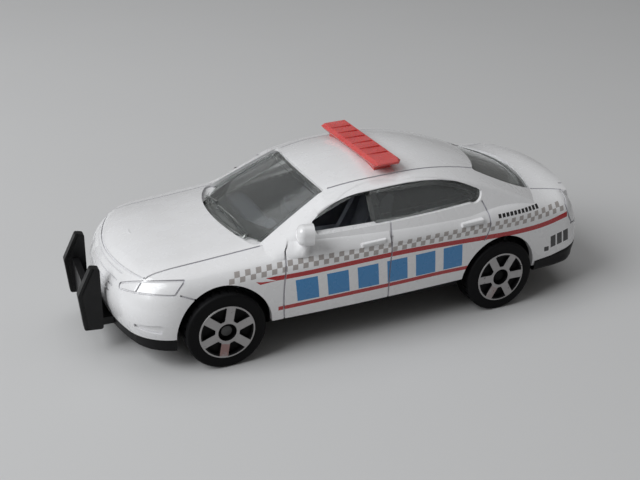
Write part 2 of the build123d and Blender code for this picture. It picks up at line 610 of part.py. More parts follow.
def make_base():
    floor, edge, top = [plan_outline(row) for row in BASE_ROWS]
    plate = loft([floor, edge]) + loft([edge, top])
    tray_row = (FLOOR_Z + FLOOR_T,) + BASE_ROWS[2][1:]
    tray = extrude(plan_outline(tray_row, BASE_EDGE_W, BASE_EDGE_W, BASE_EDGE_W), amount=5)
    base = plate - tray
    lip = extrude(plan_outline(LIP_ROW), amount=LIP_TOP_Z - LIP_ROW[0])
    lip = lip & Pos(LIP_REAR_X + 10, 0, LIP_TOP_Z) * Box(20, 40, 10)
    valance = extrude(plan_outline(VALANCE_ROW), amount=VALANCE_TOP_Z - VALANCE_ROW[0])
    valance = valance & Pos(VALANCE_FRONT_X - 10, 0, VALANCE_TOP_Z) * Box(20, 40, 10)
    base = base + lip + valance
    # Exhaust, silencer and floor ribs on the underside
    exhaust = tube_x(*EXHAUST_X, EXHAUST_Y, FLOOR_Z + EXHAUST_SINK, EXHAUST_R)
    silencer = Pos(SILENCER_X, EXHAUST_Y, FLOOR_Z + SILENCER_SINK) * Box(*SILENCER_SIZE)
    silencer = fillet(silencer.edges().filter_by(Axis.Z), SILENCER_SIDE_R)
    silencer = fillet(silencer.faces().sort_by(Axis.Z)[0].edges(), SILENCER_LOW_R)
    within_floor = Pos(0, 0, FLOOR_Z + EXHAUST_TOP + 2) * Box(90, 40, 4)
    base = base + (exhaust + silencer - within_floor)
    base = base + mirrored([Pos(0, RIB_Y, FLOOR_Z) * Box(*RIB_SIZE)])
    for x in (FRONT_AXLE_X, REAR_AXLE_X):
        wells = mirrored([tube_y(x, AXLE_Z, ARCH_R, WELL_Y, OUTER_Y)])
        bearings = mirrored([Pos(x, BEARING_Y, BEARING_Z) * Box(*BEARING_SIZE)])
        base = base + bearings - wells - tube_y(x, AXLE_Z, AXLE_R + SEAT_PLAY, -WHEEL_BACK_Y, WHEEL_BACK_Y)
    for x in (FRONT_RIVET_X, REAR_RIVET_X):
        boss = Pos(x, 0, (FLOOR_Z + POST_LOW_Z) / 2) * Cylinder(POST_R + BOSS_WALL, POST_LOW_Z - FLOOR_Z)
        base = base + boss - Pos(x, 0, POST_LOW_Z + 2) * Cylinder(POST_R + GAP, 4)
        base = base - Pos(x, 0, 4) * Cylinder(RIVET_R + SEAT_PLAY, 6)
        head_top = FLOOR_Z + RIVET_HEAD_T
        base = base - Pos(x, 0, head_top - 1) * Cylinder(RIVET_HEAD_R + GAP, 2)
    tongue = Pos(TONGUE_X, 0, TONGUE_Z) * Box(TONGUE[0] + 2 * GAP, TONGUE[1] + 2 * GAP, TONGUE[2] + 2 * GAP)
    return base - tongue


def make_push_bar():
    plates = []
    for y in (PUSH_Y - PUSH_T, -PUSH_Y):
        plate = across(polygon(PUSH_PROFILE, PUSH_EDGE_R), y, y + PUSH_T)
        # Step along the front edge of each upright
        step = trace(Polyline(*PUSH_STEP), PUSH_STEP_W)
        for edge_y in (y, y + PUSH_T):
            plate = plate - across(step, edge_y - PUSH_STEP_DEPTH, edge_y + PUSH_STEP_DEPTH)
        plates.append(plate)
    web = Pos(PUSH_PLATE_X, 0, PUSH_PLATE_Z) * Box(PUSH_PLATE_T, 2 * PUSH_Y - PUSH_T, PUSH_PLATE_H)
    tongue = Pos(TONGUE_X, 0, TONGUE_Z) * Box(*TONGUE)
    return plates[0] + plates[1] + web + tongue


def make_axle(x):
    axle = tube_y(x, AXLE_Z, AXLE_R, -HEAD_Y, HEAD_Y)
    for s in (1, -1):
        axle = axle + tube_y(x, AXLE_Z, AXLE_HEAD_R, s * HEAD_Y, s * (HEAD_Y + AXLE_HEAD_T))
    return axle


def make_wheel(side, x, turn):
    """One wheel; side is 1 on the left and -1 on the right, turn is its spokes' angle."""
    bore, seat_y = AXLE_R + AXLE_PLAY, HEAD_Y - AXLE_PLAY
    boss_y, web_y = WHEEL_BACK_Y + BOSS_BACK, WHEEL_BACK_Y + WEB_BACK
    wall_y = WHEEL_FACE_Y - SIDEWALL_STEP
    profile = [
        (bore, boss_y), (BOSS_R, boss_y), (BOSS_R, web_y), (BARREL_R, web_y),
        (BARREL_R, WHEEL_BACK_Y), (TYRE_R, WHEEL_BACK_Y), (TYRE_R, wall_y), (RIM_R + RIM_BEVEL, wall_y),
        (RIM_R, WHEEL_FACE_Y), (HUB_R, WHEEL_FACE_Y), (HUB_R, seat_y), (bore, seat_y),
    ]
    face = polygon(profile)
    face = fillet(face.vertices().filter_by_position(Axis.X, TYRE_R - 0.01, TYRE_R + 0.01), TYRE_EDGE_R)
    wheel = revolve(face, Axis.Y, 360)
    # Pockets between the spokes
    ring = make_face(Circle(RIM_R - RIM_LIP).edges()) - make_face(Circle(HUB_R + HUB_RING).edges())
    for i in range(SPOKES):
        ring = ring - Rot(0, 0, turn + i * 360 / SPOKES) * Pos(RIM_R / 2, 0) * Rectangle(RIM_R, SPOKE_W)
    pockets = fillet(ring.vertices(), POCKET_R)
    pockets = Rot(-90, 0, 0) * extrude(pockets, amount=2 * SPOKE_DEPTH)
    wheel = wheel - Pos(0, WHEEL_FACE_Y - SPOKE_DEPTH, 0) * pockets
    # Tread blocks on the outer shoulder
    notch = Pos(TYRE_R, WHEEL_FACE_Y - TREAD_BACK, 0) * Box(2 * TREAD_DEPTH, TREAD_LENGTH, TREAD_GAP)
    wheel = wheel - [Rot(0, i * 360 / TREAD_BLOCKS, 0) * notch for i in range(TREAD_BLOCKS)]
    if side < 0:
        wheel = mirror(wheel, Plane.XZ)
    return Pos(x, 0, AXLE_Z) * wheel


def make_seat(s):
    """Front seat with side bolsters; s is 1 on the left and -1 on the right."""
    low, high = s * SEAT_Y - SEAT_W / 2, s * SEAT_Y + SEAT_W / 2
    seat = across(polygon(CUSHION, CUSHION_R), low, high)
    seat = seat + across(polygon(SEAT_BACK, SEAT_R), low + BACK_STEP, high - BACK_STEP)
    for y0, y1 in ((low, low + BOLSTER_W), (high - BOLSTER_W, high)):
        seat = seat + across(polygon(BOLSTER, SEAT_R), y0, y1)
    return seat


def make_interior():
    floor = Pos(TUB_X, 0, TUB_Z) * Box(TUB_LENGTH, TUB_WIDTH, TUB_T)
    floor = floor + Pos(0, 0, TUB_Z) * Box(WIDE_LENGTH, WIDE_WIDTH, TUB_T)
    side_y, side_z = (WIDE_WIDTH - TUB_T) / 2, TUB_Z - TUB_SIDE_DROP + TUB_SIDE_H / 2
    tub = floor + mirrored([Pos(0, side_y, side_z) * Box(WIDE_LENGTH, TUB_T, TUB_SIDE_H)])
    tub = tub + make_seat(1) + make_seat(-1)
    tub = tub + across(polygon(BENCH, CUSHION_R), -BENCH_HALF_W, BENCH_HALF_W)
    tub = tub + across(polygon(DASH, CUSHION_R), -DASH_HALF_W, DASH_HALF_W)
    binnacle = polygon(BINNACLE, CUSHION_R)
    tub = tub + across(binnacle, SEAT_Y - BINNACLE_HALF_W, SEAT_Y + BINNACLE_HALF_W)
    return tub + across(polygon(CONSOLE, CUSHION_R), -CONSOLE_HALF_W, CONSOLE_HALF_W)


def make_steering_wheel():
    wheel = Torus(STEERING_R, STEERING_RIM_R) + Cylinder(*STEERING_HUB) + Box(*STEERING_SPOKE)
    column = Pos(0, 0, -COLUMN_LENGTH / 2) * Cylinder(COLUMN_R, COLUMN_LENGTH)
    return Pos(STEERING_X, SEAT_Y, STEERING_Z) * Rot(0, STEERING_TILT, 0) * (wheel + column)


def make_rivet(x):
    pin_top = POST_LOW_Z + POST_BORE - GAP
    pin = Pos(x, 0, (FLOOR_Z + pin_top) / 2) * Cylinder(RIVET_R, pin_top - FLOOR_Z)
    head = Pos(x, 0, FLOOR_Z + RIVET_HEAD_T / 2) * Cylinder(RIVET_HEAD_R, RIVET_HEAD_T)
    return pin + head


PARTS = {}
PARTS["body_shell"] = make_body()
PARTS["glazing"] = make_glazing()
PARTS["light_bar"] = make_light_bar()
PARTS["interior"] = make_interior()
PARTS["steering_wheel"] = make_steering_wheel()
PARTS["base"] = make_base()
PARTS["push_bar"] = make_push_bar()
PARTS["front_axle"] = make_axle(FRONT_AXLE_X)
PARTS["rear_axle"] = make_axle(REAR_AXLE_X)
for end, axle_x in (("front", FRONT_AXLE_X), ("rear", REAR_AXLE_X)):
    PARTS[f"wheel_{end}_left"] = make_wheel(1, axle_x, LEFT_SPOKES[end])
    PARTS[f"wheel_{end}_right"] = make_wheel(-1, axle_x, RIGHT_SPOKES[end])
PARTS["front_rivet"] = make_rivet(FRONT_RIVET_X)
PARTS["rear_rivet"] = make_rivet(REAR_RIVET_X)

os.makedirs("parts", exist_ok=True)
for name, shape in PARTS.items():
    export_step(shape, f"parts/{name}.step")
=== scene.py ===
from math import cos, radians, sin

import bpy
from mathutils import Matrix, Vector
from mathutils.bvhtree import BVHTree


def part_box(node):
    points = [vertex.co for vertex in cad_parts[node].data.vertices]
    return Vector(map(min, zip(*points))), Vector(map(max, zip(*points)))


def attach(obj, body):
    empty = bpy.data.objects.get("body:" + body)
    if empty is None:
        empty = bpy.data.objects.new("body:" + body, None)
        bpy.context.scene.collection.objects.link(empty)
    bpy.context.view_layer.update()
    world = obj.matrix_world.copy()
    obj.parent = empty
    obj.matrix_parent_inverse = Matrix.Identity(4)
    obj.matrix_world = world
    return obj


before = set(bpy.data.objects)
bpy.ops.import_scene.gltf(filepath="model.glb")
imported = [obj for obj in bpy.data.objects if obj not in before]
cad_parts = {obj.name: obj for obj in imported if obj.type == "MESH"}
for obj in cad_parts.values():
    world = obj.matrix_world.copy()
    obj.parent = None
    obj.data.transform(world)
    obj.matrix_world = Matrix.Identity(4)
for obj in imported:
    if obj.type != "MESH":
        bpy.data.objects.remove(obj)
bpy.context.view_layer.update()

# Looks of the toy patrol saloon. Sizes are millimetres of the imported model's frame, x forward,
# y to the car's left and z up, unless they are multiplied by MM, which makes them metres.
MM = 0.001

# Camera, at the photograph's viewing angle, with its angles in degrees
CAMERA_TARGET = Vector((1.2, 0.0, 7.94)) * MM
CAMERA_DISTANCE = 135.4 * MM
CAMERA_YAW = 23.60
CAMERA_PITCH = 25.71
CAMERA_ROLL = 1.03
FOCAL_PIXELS = 899.7
IMAGE_WIDTH = 640
SENSOR_WIDTH = 36.0
CLIP_START = 5 * MM

# Lights: azimuth and elevation in degrees, distance and size in metres, power in watts
WINDOW_LIGHT = (4, 42, 0.60, 0.40, 2.9)
SKY_LIGHT = (-100, 76, 0.70, 0.60, 1.0)
LIGHT_COLOUR = (0.97, 0.985, 1.0)
ROOM_COLOUR = (0.88, 0.87, 0.86, 1)
ROOM_STRENGTH = 0.17

# Floor: half its width, in metres
FLOOR_REACH = 3.0

# Colours, linear
WHITE = (0.81, 0.81, 0.82, 1)
DUST = (0.62, 0.60, 0.57, 1)
# Painted shade in the grooves
GROOVE_SHADE_GREY = (0.56, 0.55, 0.60, 1)
RED = (0.42, 0.014, 0.018, 1)
BLUE = (0.034, 0.225, 0.51, 1)
CHECK_GREY = (0.39, 0.36, 0.345, 1)
PRINT_BLACK = (0.012, 0.012, 0.013, 1)
SILVER = (0.42, 0.41, 0.41, 1)
WORN = (0.33, 0.19, 0.18, 1)
BLACK = (0.007, 0.007, 0.0075, 1)
WORN_BLACK = (0.018, 0.018, 0.018, 1)
WORN_BASE = (0.013, 0.013, 0.014, 1)
SEAT_GREY = (0.105, 0.112, 0.135, 1)
WORN_SEAT = (0.19, 0.20, 0.225, 1)
DARK_GREY = (0.02, 0.02, 0.022, 1)
WORN_DARK = (0.05, 0.05, 0.05, 1)
CLEAR = (0.86, 0.89, 0.88, 1)
HAZY = (0.78, 0.80, 0.79, 1)
LAMP_RED = (0.84, 0.16, 0.155, 1)
DEEP_RED = (0.78, 0.11, 0.105, 1)
WIRE = (0.10, 0.10, 0.10, 1)
# Painted shade: the rear axle's wire, darker than the front axle's
SHADED_WIRE = (0.015, 0.015, 0.015, 1)
ZINC = (0.62, 0.62, 0.63, 1)
PALE_FLOOR = (0.60, 0.60, 0.60, 1)
SHADED_FLOOR = (0.57, 0.57, 0.57, 1)

# Print on the sides, outside PRINT_SIDE_Y and below PRINT_BELT_Z. The tables give x and z of the
# middle of each stripe and of the foot of the checks, and outlines run anticlockwise. Ends are along
# x and heights along z. A lean is a shift along x per millimetre of height. A line is a rise per
# millimetre of length and the value at x 0.
PRINT_SIDE_Y = 12.4
PRINT_BELT_Z = 15.4
CURVE_SPAN = 80.0
UPPER_STRIPE = (
    (-33.0, 13.0), (-32.2, 12.84), (-28.2, 12.16), (-24.1, 11.94), (-16.5, 12.15),
    (-9.9, 12.37), (-3.7, 12.38), (3.7, 12.08), (10.8, 11.72), (14.0, 11.66), (17.0, 11.66),
)
UPPER_HALF_LINE = (-0.0016, 0.325)
UPPER_ENDS = (-32.4, 14.1)
STRIPE_POINT = ((14.0, 11.36), (15.5, 11.88), (14.0, 11.97))
STRIPE_HOOK = ((16.26, 11.13), (16.81, 11.58), (16.0, 11.45))
STRIPE_NECK = ((13.9, 11.37), (16.3, 11.12), (16.05, 11.45))
LOWER_STRIPE = (
    (-16.0, 7.86), (-14.0, 7.90), (-10.3, 7.93), (-3.9, 7.77), (3.7, 7.60), (13.6, 7.28), (14.0, 7.27),
)
LOWER_HALF = 0.29
LOWER_ENDS = (-14.9, 13.9)
CHECK_FOOT = (
    (-33.0, 13.60), (-31.4, 13.45), (-27.5, 13.14), (-24.6, 12.98), (-20.4, 12.94), (-15.8, 12.98),
    (-10.0, 12.92), (-5.7, 12.80), (0.2, 12.67), (5.9, 12.57), (11.6, 12.36), (17.2, 11.94), (20.5, 11.68),
)
CHECK_START = 20.31
CHECK_LENGTH = 0.714
CHECK_HEIGHT = 0.61
CHECK_LEAN = 0.2
CHECK_ROWS = 2.0
CHECK_COLUMNS = 73.0
BLOCK_ENDS = (-14.6, 11.7)
BLOCK_PITCH = 4.42
BLOCK_LENGTH = 3.1
BLOCK_LEAN = -0.08
BLOCK_TOP_LINE = (-0.034, 11.38)
BLOCK_FOOT_LINE = (-0.020, 8.12)
BAR_ENDS = (-34.75, -31.4)
BAR_PITCH = 1.2
BAR_LENGTH = 0.95
BAR_LEAN = -0.19
BAR_LINE = (-0.225, 2.22)
BAR_HALF = 1.0
MARK_ENDS = (-31.05, -30.2)
MARK_HEIGHTS = (7.5, 8.3)
DASH_ENDS = (-27.35, -19.6)
DASH_START = -28.0
DASH_PITCH = 0.70
DASH_LENGTH = 0.5
DASH_HEIGHTS = (14.48, 15.0)

# Painted shade darkens the grooves where their walls lie within GROOVE_REACH, by the first of
# NOSE_SHARES behind the NOSE_ENDS and by the second one ahead of them
GROOVE_REACH = 0.35 * MM
GROOVE_OPENNESS = (0.35, 0.85)
NOSE_ENDS = (24.0, 28.0)
NOSE_SHARES = (0.8, 0.25)

# Print on the wheels, from the hub to the rim, on the outermost FACE_DEPTH only. It leaves out the
# pockets' outer corners, which lie further than POCKET_ASIDE from a spoke's middle line. Flakes of
# it are gone where the noise is under CHIP_LEVEL. Angles are in degrees.
PRINT_RADII = (1.2, 3.78)
POCKET_RADII = (3.0, 3.56)
POCKET_ASIDE = 0.59
FACE_DEPTH = 0.06
SPOKE_STEP = 60
CHIP_LEVEL = 0.34
WORN_RADII = (1.7, 3.5)
WORN_HALF = 0.6

# Each wheel: the angle of one spoke, the angle of the worn one, and how worn it is
WHEELS = {
    "wheel_front_left": (40, 280, 0.85),
    "wheel_front_right": (10, 70, 0.3),
    "wheel_rear_left": (0, 300, 0.35),
    "wheel_rear_right": (50, 110, 0.3),
}

# Points on the body's outside are found from this far out
FAR = 30.0

# Cantrail: y of the cabin's side at FLANK_Z along the length, the height of the openings' upper
# edge, and y of the roof just outside its channels, where the rail starts. The roof falls on from
# there and meets the side in a corner, which is rounded over the share CORNER_CUT of both sides.
FLANK_Z = 16.5
FLANK_SLOPE = 0.68
FLANK = (
    (-19.0, 13.60), (-17.0, 13.84), (-16.0, 13.92), (-14.0, 14.02), (-12.0, 14.13), (-10.0, 14.16),
    (-8.0, 14.18), (-6.0, 14.15), (-4.0, 14.09), (-2.0, 14.00), (0.0, 13.84), (2.0, 13.69),
    (4.0, 13.46), (6.0, 13.22), (10.0, 12.60),
)
WINDOW_EDGE = (
    (-18.0, 18.1), (-17.0, 18.66), (-16.0, 19.12), (-14.4, 19.70), (-11.8, 20.22), (-9.2, 20.42),
    (-6.6, 20.45), (-4.1, 20.33), (-2.3, 20.2), (-0.5, 20.05), (1.0, 19.95), (2.1, 19.80),
    (3.3, 19.50), (4.6, 19.05), (6.2, 18.35), (8.0, 17.35),
)
RAIL_REAR = -17.2
RAIL_FRONT = 6.9
RAIL_STEPS = 56
ROOF_EDGE = ((-17.2, 8.71), (-11.0, 9.26), (-5.0, 9.43), (0.0, 9.31), (4.1, 9.05), (6.9, 9.5))
ROOF_FALL = 0.235
ROOF_ROUNDING = 0.022
RAIL_ABOVE = Vector((0, 0, 0.02))
RAIL_INNER_DROP = Vector((0, 0, 0.04))
RAIL_FOLD = Vector((0, 0.5, 0.15))
CORNER_FIRST_Y = 12.0
CORNER_TRIES = 30
CORNER_STEPS = 6
CORNER_CUT = 0.35

# Belt fillets: how full they are and how they thin towards the top, how far they stand out and how
# far their edges tuck in, and x and z of their rear and front edges, beside the doors' grooves
WING_FULLNESS = 1.3
DOOR_FULLNESS = 0.95
UPPER_THINNING = 0.35
SHOULDER_PROUD = 0.03
SHOULDER_TUCK = 0.04
SHOULDER_STEPS = 24
SHOULDER_ROWS = 10
WING_EDGES = (
    ((12.45, 13.55), (12.34, 14.0), (12.2, 14.5), (11.8, 14.9), (11.4, 15.4), (11.1, 16.0)),
    ((14.9, 13.35), (14.4, 14.75)),
)
FRONT_DOOR_EDGES = (
    ((-2.35, 13.55), (-2.5, 15.35)),
    ((12.3, 13.55), (12.2, 14.0), (12.06, 14.5), (11.72, 14.83), (11.45, 15.15), (11.3, 15.4)),
)
REAR_DOOR_EDGES = ((-17.9, 13.55), (-18.3, 15.35)), ((-2.75, 13.55), (-3.0, 15.35))

# Rear valance: its front end, the lowest height at which it follows the body, how far it stands
# out, how its top edge tucks in and its foot turns in, as pairs of out and up, and z of its top and
# foot along the length
VALANCE_FRONT = -27.3
VALANCE_STEPS = 40
VALANCE_ROWS = 6
VALANCE_MIDDLE_Z = 7.0
BODY_FOOT_Z = 6.0
VALANCE_PROUD = 0.10
VALANCE_TUCK = 0.05
VALANCE_LIP = 0.5
VALANCE_HEM = ((-0.02, 0.15), (-0.35, 0.0), (-1.8, 0.1))
VALANCE_TOP = ((-38.5, 7.95), (-36.0, 7.90), (-34.3, 7.72), (-32.7, 7.23), (-30.5, 6.60), (-27.1, 6.20))
VALANCE_FOOT = ((-38.5, 5.3), (-35.8, 5.05), (-33.8, 4.7), (-31.0, 4.45), (-27.1, 4.5))


class Nodes:
    """Short calls that add shader nodes to one material."""

    def __init__(self, name):
        self.material = bpy.data.materials.new(name)
        self.material.use_nodes = True
        self.tree = self.material.node_tree
        self.shader = self.tree.nodes["Principled BSDF"]

    def add(self, kind, **settings):
        node = self.tree.nodes.new(kind)
        for key, value in settings.items():
            setattr(node, key, value)
        return node

    def link(self, source, target):
        self.tree.links.new(source, target)

    def feed(self, socket, value):
        """Puts a number, a colour or another node's output into a socket."""
        if isinstance(value, bpy.types.NodeSocket):
            self.link(value, socket)
        else:
            socket.default_value = value

    def math(self, operation, a, b=0.0, c=0.0):
        node = self.add("ShaderNodeMath", operation=operation)
        for socket, value in zip(node.inputs, (a, b, c)):
            self.feed(socket, value)
        return node.outputs[0]

    def axes(self):
        """The point's x, y and z in millimetres of the frame."""
        place = self.add("ShaderNodeTexCoord").outputs["Object"]
        scaled = self.add("ShaderNodeVectorMath", operation="SCALE")
        self.link(place, scaled.inputs[0])
        scaled.inputs["Scale"].default_value = 1 / MM
        split = self.add("ShaderNodeSeparateXYZ")
        self.link(scaled.outputs[0], split.inputs[0])
        return split.outputs

    def between(self, value, low, high):
        """1 where value lies between low and high, else 0."""
        above = self.math("GREATER_THAN", value, low)
        below = self.math("LESS_THAN", value, high)
        return self.math("MULTIPLY", above, below)

    def both(self, *masks):
        """All masks at once, or the product of numbers."""
        result = masks[0]
        for mask in masks[1:]:
            result = self.math("MULTIPLY", result, mask)
        return result

    def either(self, *masks):
        """Any of the masks."""
        result = masks[0]
        for mask in masks[1:]:
            result = self.math("MAXIMUM", result, mask)
        return result

    def outline(self, x, z, corners):
        """1 inside a convex outline whose corners run anticlockwise."""
        inside = []
        for (x0, z0), (x1, z1) in zip(corners, corners[1:] + corners[:1]):
            rise = self.math("MULTIPLY_ADD", z, x1 - x0, z0 * (x0 - x1))
            run = self.math("MULTIPLY_ADD", x, z1 - z0, x0 * (z0 - z1))
            inside.append(self.math("GREATER_THAN", rise, run))
        return self.both(*inside)

    def parts(self, value, start, pitch, length):
        """1 over the first length of each pitch from start on, else 0."""
        step = self.math("FLOORED_MODULO", self.math("SUBTRACT", value, start), pitch)
        return self.math("LESS_THAN", step, length)

    def curve(self, value, points):
        """Smooth height along the car's length through points of x and z."""
        node = self.add("ShaderNodeFloatCurve")
        self.link(self.math("MULTIPLY_ADD", value, 1 / CURVE_SPAN, 0.5), node.inputs["Value"])
        line = node.mapping.curves[0]
        for _ in points[2:]:
            line.points.new(0.5, 0.5)
        for place, (along, height) in zip(line.points, points):
            place.location = (along / CURVE_SPAN + 0.5, height / CURVE_SPAN)
        node.mapping.update()
        return self.math("MULTIPLY", node.outputs[0], CURVE_SPAN)

    def noise(self, scale, detail=3.0, rough=0.5):
        """Noise with its scale per millimetre of the frame."""
        place = self.add("ShaderNodeTexCoord").outputs["Object"]
        texture = self.add("ShaderNodeTexNoise")
        self.link(place, texture.inputs["Vector"])
        texture.inputs["Scale"].default_value = scale / MM
        texture.inputs["Detail"].default_value = detail
        texture.inputs["Roughness"].default_value = rough
        return texture.outputs["Fac"]

    def spread(self, value, low, high, start=0.3, end=0.7):
        """Turns the values from start to end into low to high."""
        node = self.add("ShaderNodeMapRange")
        for name, number in (("From Min", start), ("From Max", end), ("To Min", low), ("To Max", high)):
            node.inputs[name].default_value = number
        self.link(value, node.inputs["Value"])
        return node.outputs[0]

    def mix(self, factor, a, b):
        node = self.add("ShaderNodeMix", data_type="RGBA")
        self.feed(node.inputs["Factor"], factor)
        self.feed(node.inputs["A"], a)
        self.feed(node.inputs["B"], b)
        return node.outputs["Result"]

    def bump(self, height, strength, distance):
        node = self.add("ShaderNodeBump")
        node.inputs["Strength"].default_value = strength
        node.inputs["Distance"].default_value = distance
        self.link(height, node.inputs["Height"])
        self.link(node.outputs[0], self.shader.inputs["Normal"])

    def occlusion(self, distance):
        """1 on open surfaces, less inside a groove of the piece."""
        node = self.add("ShaderNodeAmbientOcclusion", only_local=True, samples=8)
        node.inputs["Distance"].default_value = distance
        return node.outputs["AO"]


def livery(nodes):
    """Colour of the sides' print over white: stripes, checks and plain blocks."""
    x, y, z = nodes.axes()
    side = nodes.math("GREATER_THAN", nodes.math("ABSOLUTE", y), PRINT_SIDE_Y)
    low_side = nodes.both(side, nodes.math("LESS_THAN", z, PRINT_BELT_Z))
    dust = nodes.spread(nodes.noise(0.35, 5.0), 0.0, 0.12)
    colour = nodes.mix(dust, WHITE, DUST)

    # Upper stripe, broader at the rear, with a pointed front end and a hook under it
    height = nodes.math("SUBTRACT", z, nodes.curve(x, UPPER_STRIPE))
    half = nodes.math("MULTIPLY_ADD", x, *UPPER_HALF_LINE)
    middle = nodes.math("LESS_THAN", nodes.math("ABSOLUTE", height), half)
    stripe = nodes.both(middle, nodes.between(x, *UPPER_ENDS))
    corners = [nodes.outline(x, z, shape) for shape in (STRIPE_POINT, STRIPE_HOOK, STRIPE_NECK)]

    # Lower stripe
    height = nodes.math("SUBTRACT", z, nodes.curve(x, LOWER_STRIPE))
    lower = nodes.both(nodes.between(height, -LOWER_HALF, LOWER_HALF), nodes.between(x, *LOWER_ENDS))
    red = nodes.either(stripe, *corners, lower)

    # Two rows of checks above the stripe
    above = nodes.math("SUBTRACT", z, nodes.curve(x, CHECK_FOOT))
    row = nodes.math("DIVIDE", above, CHECK_HEIGHT)
    along = nodes.math("MULTIPLY_ADD", above, CHECK_LEAN, x)
    column = nodes.math("DIVIDE", nodes.math("SUBTRACT", CHECK_START, along), CHECK_LENGTH)
    parity = nodes.math("ADD", nodes.math("FLOOR", row), nodes.math("FLOOR", column))
    even = nodes.math("LESS_THAN", nodes.math("FLOORED_MODULO", parity, 2.0), 0.5)
    band = nodes.both(nodes.between(row, 0.0, CHECK_ROWS), nodes.between(column, 0.0, CHECK_COLUMNS))
    checks = nodes.both(even, band)

    # Upright blue blocks between the stripes
    along = nodes.math("MULTIPLY_ADD", z, BLOCK_LEAN, x)
    under_top = nodes.math("LESS_THAN", z, nodes.math("MULTIPLY_ADD", x, *BLOCK_TOP_LINE))
    over_foot = nodes.math("GREATER_THAN", z, nodes.math("MULTIPLY_ADD", x, *BLOCK_FOOT_LINE))
    block = nodes.parts(along, BLOCK_ENDS[0], BLOCK_PITCH, BLOCK_LENGTH)
    blocks = nodes.both(block, nodes.between(along, *BLOCK_ENDS), under_top, over_foot)

    # Black bars and a small mark on the rear wing
    along = nodes.math("MULTIPLY_ADD", z, BAR_LEAN, x)
    height = nodes.math("SUBTRACT", z, nodes.math("MULTIPLY_ADD", x, *BAR_LINE))
    tall = nodes.math("LESS_THAN", nodes.math("ABSOLUTE", height), BAR_HALF)
    bar = nodes.parts(along, BAR_ENDS[0], BAR_PITCH, BAR_LENGTH)
    bars = nodes.both(bar, nodes.between(along, *BAR_ENDS), tall)
    mark = nodes.both(nodes.between(along, *MARK_ENDS), nodes.between(z, *MARK_HEIGHTS))

    # Fine dashed line above the checks
    dash = nodes.parts(x, DASH_START, DASH_PITCH, DASH_LENGTH)
    dashes = nodes.both(dash, nodes.between(x, *DASH_ENDS), nodes.between(z, *DASH_HEIGHTS))
    black = nodes.either(bars, mark, dashes)

    for mask, paint in ((checks, CHECK_GREY), (red, RED), (blocks, BLUE), (black, PRINT_BLACK)):
        colour = nodes.mix(nodes.both(mask, low_side), colour, paint)
    return colour


def white_paint():
    """White enamel with the print on it, a thin clear coat and painted shade in the grooves."""
    nodes = Nodes("white enamel")
    colour = livery(nodes)
    # Painted shade: the grooves' ambient occlusion mixes a grey into the enamel's colour
    grooves = nodes.spread(nodes.occlusion(GROOVE_REACH), 1.0, 0.0, *GROOVE_OPENNESS)
    nose = nodes.spread(nodes.axes()[0], *NOSE_SHARES, *NOSE_ENDS)
    colour = nodes.mix(nodes.both(grooves, nose), colour, GROOVE_SHADE_GREY)
    nodes.link(colour, nodes.shader.inputs["Base Color"])
    nodes.link(nodes.spread(nodes.noise(0.5), 0.20, 0.34), nodes.shader.inputs["Roughness"])
    nodes.shader.inputs["Coat Weight"].default_value = 0.5
    nodes.shader.inputs["Coat Roughness"].default_value = 0.12
    nodes.bump(nodes.noise(0.5, 1.0), 0.05, 0.05 * MM)
    return nodes.material


def plastic(name, colour, pale, rough, gloss=0.5):
    """Moulded plastic: a little lighter where it is handled, with a fine grain."""
    nodes = Nodes(name)
    worn = nodes.spread(nodes.noise(0.6, 4.0), 0.0, 0.5, 0.45, 0.75)
    nodes.link(nodes.mix(worn, colour, pale), nodes.shader.inputs["Base Color"])
    nodes.link(nodes.spread(nodes.noise(1.2), rough - 0.07, rough + 0.07), nodes.shader.inputs["Roughness"])
    nodes.shader.inputs["Specular IOR Level"].default_value = gloss
    nodes.bump(nodes.noise(2.0, 2.0), 0.15, 0.03 * MM)
    return nodes.material


def clear_plastic():
    """Clear moulding, slightly hazy and uneven."""
    nodes = Nodes("clear moulding")
    haze = nodes.spread(nodes.noise(0.5, 4.0), 0.0, 0.3)
    colour = nodes.mix(haze, CLEAR, HAZY)
    nodes.link(colour, nodes.shader.inputs["Base Color"])
    nodes.shader.inputs["Transmission Weight"].default_value = 0.94
    nodes.shader.inputs["IOR"].default_value = 1.49
    nodes.link(nodes.spread(nodes.noise(0.8), 0.02, 0.09), nodes.shader.inputs["Roughness"])
    nodes.bump(nodes.noise(0.25, 1.0), 0.10, 0.05 * MM)
    return nodes.material


def red_plastic():
    """Translucent red moulding."""
    nodes = Nodes("red moulding")
    cloud = nodes.spread(nodes.noise(0.25, 2.0), 0.0, 1.0)
    colour = nodes.mix(cloud, LAMP_RED, DEEP_RED)
    nodes.link(colour, nodes.shader.inputs["Base Color"])
    nodes.shader.inputs["Transmission Weight"].default_value = 0.25
    nodes.shader.inputs["IOR"].default_value = 1.49
    nodes.shader.inputs["Subsurface Weight"].default_value = 0.3
    nodes.shader.inputs["Subsurface Scale"].default_value = 1.0 * MM
    nodes.link(nodes.spread(nodes.noise(0.4, 2.0), 0.22, 0.32), nodes.shader.inputs["Roughness"])
    nodes.bump(nodes.noise(0.3, 1.0), 0.04, 0.05 * MM)
    return nodes.material


def bare_metal(name, colour, rough):
    """Unpainted metal with darker, tarnished patches."""
    nodes = Nodes(name)
    tarnish = nodes.spread(nodes.noise(1.0, 4.0), 0.0, 0.6)
    tarnished = tuple(0.6 * c for c in colour[:3]) + (1,)
    nodes.link(nodes.mix(tarnish, colour, tarnished), nodes.shader.inputs["Base Color"])
    nodes.shader.inputs["Metallic"].default_value = 1.0
    nodes.link(nodes.spread(nodes.noise(1.5), rough - 0.08, rough + 0.1), nodes.shader.inputs["Roughness"])
    nodes.bump(nodes.noise(3.0, 2.0), 0.1, 0.02 * MM)
    return nodes.material


